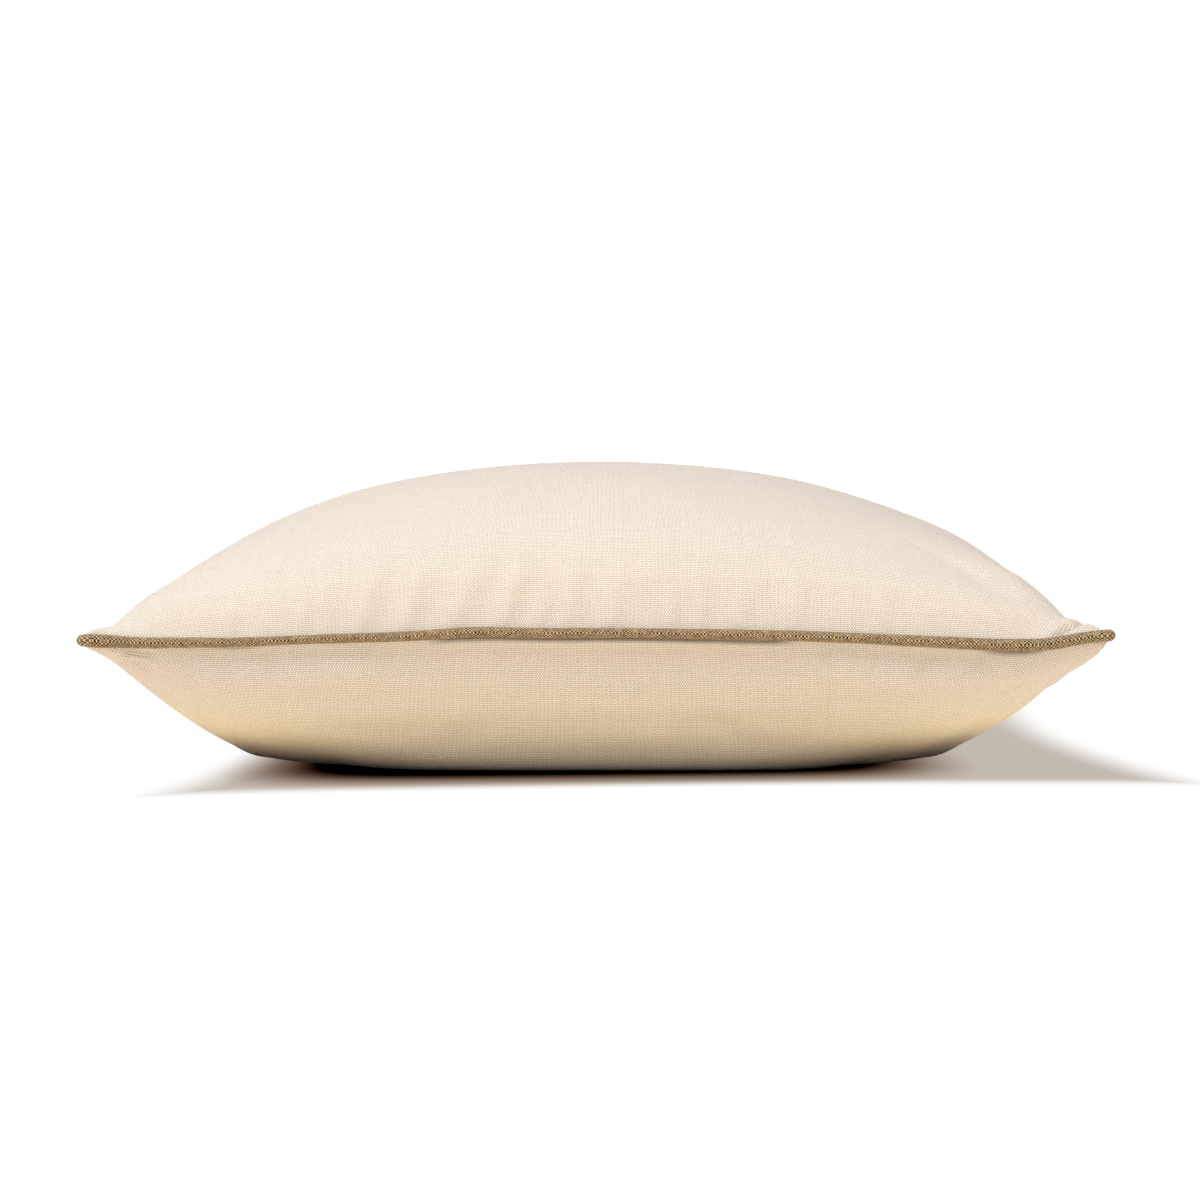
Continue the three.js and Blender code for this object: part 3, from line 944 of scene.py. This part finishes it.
class Tree:
    """The node tree of a new material, with short calls to add and join its nodes"""

    def __init__(self, name):
        self.material = bpy.data.materials.new(name)
        self.material.use_nodes = True
        self.nodes = self.material.node_tree.nodes
        self.links = self.material.node_tree.links
        self.shader = self.nodes["Principled BSDF"]

    def set_input(self, node, key, value):
        if isinstance(value, bpy.types.NodeSocket):
            self.links.new(value, node.inputs[key])
        elif value is not None:
            node.inputs[key].default_value = value

    def add(self, kind, settings=None, **inputs):
        node = self.nodes.new(kind)
        for key, value in (settings or {}).items():
            setattr(node, key, value)
        for key, value in inputs.items():
            self.set_input(node, key.replace("_", " "), value)
        return node

    def math(self, operation, *values):
        node = self.nodes.new("ShaderNodeMath")
        node.operation = operation
        for place, value in enumerate(values):
            self.set_input(node, place, value)
        return node.outputs[0]

    def span(self, value, low, high, to_low=0.0, to_high=1.0, smooth=False):
        """A value mapped from one span to another, and held inside it"""
        node = self.nodes.new("ShaderNodeMapRange")
        node.interpolation_type = "SMOOTHSTEP" if smooth else "LINEAR"
        for place, number in enumerate([value, low, high, to_low, to_high]):
            self.set_input(node, place, number)
        return node.outputs[0]

    def noise(self, vector, scale, detail=2.0, roughness=0.5):
        inputs = {"Vector": vector, "Scale": scale, "Detail": detail, "Roughness": roughness}
        return self.add("ShaderNodeTexNoise", **inputs).outputs["Fac"]

    def mix(self, share, a, b):
        node = self.add("ShaderNodeMix", {"data_type": "RGBA"})
        self.set_input(node, 0, share)
        self.set_input(node, 6, a)
        self.set_input(node, 7, b)
        return node.outputs[2]

    def scaled(self, color, factor):
        """A colour made lighter or darker by a factor"""
        node = self.add("ShaderNodeVectorMath", {"operation": "SCALE"})
        self.set_input(node, 0, color)
        self.set_input(node, "Scale", factor)
        return node.outputs[0]

    def stretched(self, x, y, x_scale, y_scale, seed):
        """A vector for a texture that is longer one way than the other"""
        node = self.add("ShaderNodeCombineXYZ")
        self.set_input(node, 0, self.math("MULTIPLY", x, x_scale))
        self.set_input(node, 1, self.math("MULTIPLY", y, y_scale))
        self.set_input(node, 2, seed)
        return node.outputs[0]


def plain_weave(tree, x, y, warp_pitch, weft_pitch):
    """A plain weave: its height, from 0 in its gaps to 1 on its threads, and where its warp
    lies on top"""
    warp_wave = tree.math("SINE", tree.math("MULTIPLY", x, math.pi / warp_pitch))
    weft_wave = tree.math("SINE", tree.math("MULTIPLY", y, math.pi / weft_pitch))
    crossing = tree.math("MULTIPLY", warp_wave, weft_wave)
    warp_over = tree.span(crossing, -CROSSING_EASE, CROSSING_EASE)
    warp_height = tree.math("MULTIPLY", tree.math("ABSOLUTE", warp_wave), warp_over)
    weft_over = tree.math("SUBTRACT", 1.0, warp_over)
    weft_height = tree.math("MULTIPLY", tree.math("ABSOLUTE", weft_wave), weft_over)
    return tree.math("ADD", warp_height, weft_height), warp_over


def thread_tone(tree, place, pitch, seed):
    """A number from 0 to 1 for each thread"""
    thread = tree.math("FLOOR", tree.math("DIVIDE", place, pitch))
    shifted = tree.math("ADD", thread, seed)
    return tree.add("ShaderNodeTexWhiteNoise", {"noise_dimensions": "1D"}, W=shifted).outputs[0]


def crossing_tone(tree, x, y, look):
    """A number from 0 to 1 for each crossing of two threads"""
    cell = tree.add("ShaderNodeCombineXYZ")
    for place, (value, pitch) in enumerate([(x, "warp_pitch"), (y, "weft_pitch")]):
        number = tree.math("FLOOR", tree.math("DIVIDE", value, look[pitch]))
        tree.set_input(cell, place, tree.math("ADD", number, 0.5))
    noise = tree.add("ShaderNodeTexWhiteNoise", {"noise_dimensions": "2D"}, Vector=cell.outputs[0])
    return noise.outputs[0]


def cloth_tone(tree, uv, x, y, slub, warp_over, look):
    """How much lighter or darker than its colours the cloth is, as a factor"""
    mottle = tree.noise(uv, MOTTLE["scale"], detail=3.0)
    tone = tree.math("ADD", tree.span(mottle, *MOTTLE["span"], -MOTTLE["tone"], MOTTLE["tone"]), 1.0)
    parts = [
        (thread_tone(tree, y, look["weft_pitch"], WEFT_SEED), -THREAD_TONE, THREAD_TONE),
        (thread_tone(tree, x, look["warp_pitch"], WARP_SEED), -THREAD_TONE, THREAD_TONE),
        (slub, 0.0, SLUB["tone"]),
        (warp_over, -look["checker"], look["checker"]),
        (crossing_tone(tree, x, y, look), -look["uneven"], look["uneven"]),
    ]
    for part, darkest, lightest in parts:
        tone = tree.math("ADD", tone, tree.span(part, 0.0, 1.0, darkest, lightest))
    return tone


def with_specks(tree, uv, color, speck_color):
    """A colour with small stray specks on it, at most one in each cell"""
    cells = tree.add("ShaderNodeTexVoronoi", Vector=uv, Scale=1 / SPECK_APART)
    drawn = tree.add("ShaderNodeSeparateColor", Color=cells.outputs["Color"]).outputs[0]
    chosen = tree.span(drawn, *SPECK_CHOICE)
    core = SPECK_CORE * SPECK_SIZE / SPECK_APART
    rim = SPECK_SIZE / SPECK_APART
    in_speck = tree.span(cells.outputs["Distance"], core, rim, SPECK_COVER, 0.0)
    return tree.mix(tree.math("MULTIPLY", chosen, in_speck), color, speck_color)


def canvas(name, look):
    """A plain-weave canvas with painted shade. It takes its threads' places from the weave's UV map."""
    tree = Tree(name)
    uv = tree.add("ShaderNodeUVMap", {"uv_map": "weave"}).outputs[0]
    split = tree.add("ShaderNodeSeparateXYZ", Vector=uv)
    drift = tree.noise(uv, SWAY["scale"], detail=1.0)
    sway = tree.span(drift, *SWAY["span"], -SWAY["reach"], SWAY["reach"])
    x = tree.math("ADD", split.outputs[0], sway)
    y = tree.math("ADD", split.outputs[1], sway)
    height, warp_over = plain_weave(tree, x, y, look["warp_pitch"], look["weft_pitch"])
    slub_place = tree.stretched(x, y, SLUB["x_scale"], SLUB["y_scale"], SLUB["seed"])
    slub = tree.span(tree.noise(slub_place, 1.0, detail=1.0), *SLUB["span"], smooth=True)
    tone = cloth_tone(tree, uv, x, y, slub, warp_over, look)
    # Painted shade in the gaps between the threads
    in_gap_shade = tree.span(height, *GAP_SHADE_EDGE, 1.0, 0.0, smooth=True)
    color = tree.scaled(tree.mix(in_gap_shade, look["thread"], look["gap"]), tone)
    color = with_specks(tree, uv, color, look["speck"])
    # Painted shade over the cloth in the gap under the piping
    in_slit_shade = tree.add("ShaderNodeAttribute", {"attribute_name": "slit"}).outputs["Fac"]
    color = tree.mix(tree.math("MULTIPLY", in_slit_shade, SLIT_SHADE_COVER), color, SLIT_SHADE_COLOR)
    tree.set_input(tree.shader, "Base Color", color)
    for socket, value in FINISH.items():
        tree.shader.inputs[socket].default_value = value
    relief = tree.math("ADD", height, tree.math("MULTIPLY", slub, SLUB["relief"]))
    bump = tree.add("ShaderNodeBump", Strength=BUMP_STRENGTH, Distance=BUMP_DEPTH, Height=relief)
    tree.set_input(tree.shader, "Normal", bump.outputs[0])
    return tree.material


# The studio


def make_camera():
    """A level view of the front side, framed as in the photograph"""
    data = bpy.data.cameras.new("camera")
    focal_pixels = TIPS_APART_PIXELS * CAMERA_DISTANCE / TIP_TO_TIP
    data.sensor_width = SENSOR_WIDTH
    data.lens = SENSOR_WIDTH * focal_pixels / IMAGE_PIXELS
    pitch = math.atan((IMAGE_PIXELS / 2 - HORIZON_PIXEL) / focal_pixels)
    aside = (IMAGE_PIXELS / 2 - PILLOW_MIDDLE_PIXEL) * CAMERA_DISTANCE / focal_pixels
    camera = bpy.data.objects.new("camera", data)
    camera.location = (aside, -(PIPING_ROUTE["apex"] + CAMERA_DISTANCE), CAMERA_HEIGHT)
    camera.rotation_euler = Euler((math.pi / 2 - pitch, 0, 0))
    bpy.context.scene.collection.objects.link(camera)
    bpy.context.scene.camera = camera


def cast_shade(tree, x, y):
    """A painted soft shadow of the pillow's plan, set off to the right and the front"""
    half = TIP_TO_TIP / 2
    across = tree.math("SUBTRACT", x, CAST_SHADE["x"])
    across = tree.math("ABSOLUTE", tree.math("MULTIPLY", across, CAST_SHADE["narrowing"]))
    along = tree.math("ABSOLUTE", tree.math("SUBTRACT", y, CAST_SHADE["y"]))
    reaches = []
    for out, beside in ((across, along), (along, across)):
        bow = tree.math("POWER", tree.math("DIVIDE", beside, half), 2)
        bow = tree.math("MINIMUM", bow, CAST_BOW_LIMIT)
        draw = tree.math("MULTIPLY", tree.math("SUBTRACT", 1, bow), CAST_SHADE["draw"])
        reaches.append(tree.math("ADD", out, draw))
    outside = tree.math("SUBTRACT", tree.math("MAXIMUM", *reaches), half)
    return tree.span(outside, *CAST_EDGE, CAST_LEVEL, 1.0, smooth=True)


def patch_shade(tree, x, y, patch, edge):
    """Dark inside a square patch with round corners, and light outside it"""
    power = patch["power"]
    x_share = tree.math("DIVIDE", tree.math("SUBTRACT", x, patch["x"]), patch["half_x"])
    y_share = tree.math("DIVIDE", y, patch["half_y"])
    parts = [tree.math("POWER", tree.math("ABSOLUTE", share), power) for share in (x_share, y_share)]
    reach = tree.math("POWER", tree.math("ADD", *parts), 1 / power)
    return tree.span(reach, *edge, smooth=True)


def make_floor():
    """A white floor with a painted soft shadow of the pillow on it, which glows to light the
    pillow warmly from below"""
    half = FLOOR_SIDE / 2
    points = np.array([[-half, -half, 0], [half, -half, 0], [half, half, 0], [-half, half, 0]])
    floor = new_mesh("floor", points, np.array([[0, 1, 2, 3]]))
    tree = Tree("floor_painted_shade_and_glow")
    place = tree.add("ShaderNodeSeparateXYZ", Vector=tree.add("ShaderNodeNewGeometry").outputs[0])
    x = place.outputs[0]
    y = tree.math("SUBTRACT", place.outputs[1], tree.math("MULTIPLY", x, SHADE_SKEW))
    # The painted contact shade and cast shadow, which only the camera sees
    contact = patch_shade(tree, x, y, CONTACT_SHADE, CONTACT_EDGE)
    shade = tree.math("MULTIPLY", cast_shade(tree, x, y), contact)
    # Glowing rings that stand in for warm light bounced off the floor
    light = (0, 0, 0, 1)
    for ring in FLOOR_RINGS:
        outside = patch_shade(tree, x, place.outputs[1], UNDER_SHADE, ring["edge"])
        light = tree.mix(outside, light, ring["color"])
    tinted = tree.add("ShaderNodeCombineXYZ")
    for channel, power in enumerate(SHADE_TINT):
        tree.set_input(tinted, channel, tree.math("POWER", shade, power))
    picture = tree.add("ShaderNodeEmission", Color=tinted.outputs[0])
    bounce_glow = tree.add("ShaderNodeEmission", Color=light, Strength=FLOOR_GLOW)
    surface = tree.add("ShaderNodeMixShader")
    tree.set_input(surface, 0, tree.add("ShaderNodeLightPath").outputs["Is Camera Ray"])
    tree.set_input(surface, 1, bounce_glow.outputs[0])
    tree.set_input(surface, 2, picture.outputs[0])
    tree.links.new(surface.outputs[0], tree.nodes["Material Output"].inputs["Surface"])
    tree.nodes.remove(tree.shader)
    floor.data.materials.append(tree.material)


def area_light(name, settings):
    """A soft light that points at the pillow"""
    data = bpy.data.lights.new(name, "AREA")
    data.shape = "RECTANGLE"
    data.size, data.size_y = settings["size"]
    data.energy = settings["power"]
    data.color = settings["color"]
    left, front = math.radians(settings["left"]), math.radians(settings["front"])
    aside = -math.sin(left) * math.cos(front)
    up = math.cos(left) * math.cos(front)
    way = Vector((aside, -math.sin(front), up))
    light = bpy.data.objects.new(name, data)
    light.location = LIT_PLACE + settings["away"] * way
    light.rotation_euler = way.to_track_quat("Z", "Y").to_euler()
    light.visible_camera = False
    bpy.context.scene.collection.objects.link(light)


def make_world():
    """A white surround, brighter to the camera than to the pillow"""
    world = bpy.data.worlds.new("studio")
    world.use_nodes = True
    background = world.node_tree.nodes["Background"]
    background.inputs["Color"].default_value = (1, 1, 1, 1)
    nodes, links = world.node_tree.nodes, world.node_tree.links
    seen = nodes.new("ShaderNodeLightPath").outputs["Is Camera Ray"]
    strength = nodes.new("ShaderNodeMapRange")
    strength.inputs["To Min"].default_value = AMBIENT_STRENGTH
    strength.inputs["To Max"].default_value = BACKDROP_STRENGTH
    links.new(seen, strength.inputs["Value"])
    links.new(strength.outputs[0], background.inputs["Strength"])
    bpy.context.scene.world = world


def make_studio():
    make_world()
    make_floor()
    for name, light in STUDIO_LIGHTS.items():
        area_light(name, light)
    view = bpy.context.scene.view_settings
    view.view_transform = "Standard"
    view.look = "None"


def dress(piece, node, material):
    """Gives a piece its material and its body, and hides the node of the model that it stands for"""
    piece.data.materials.append(material)
    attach(piece, "root")
    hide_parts(node)


make_camera()
make_studio()
cover = make_cover()
dress(cover, "cushion", canvas("cream_canvas", CREAM))
piping = make_piping()
dress(piping, "piping", canvas("taupe_canvas", TAUPE))
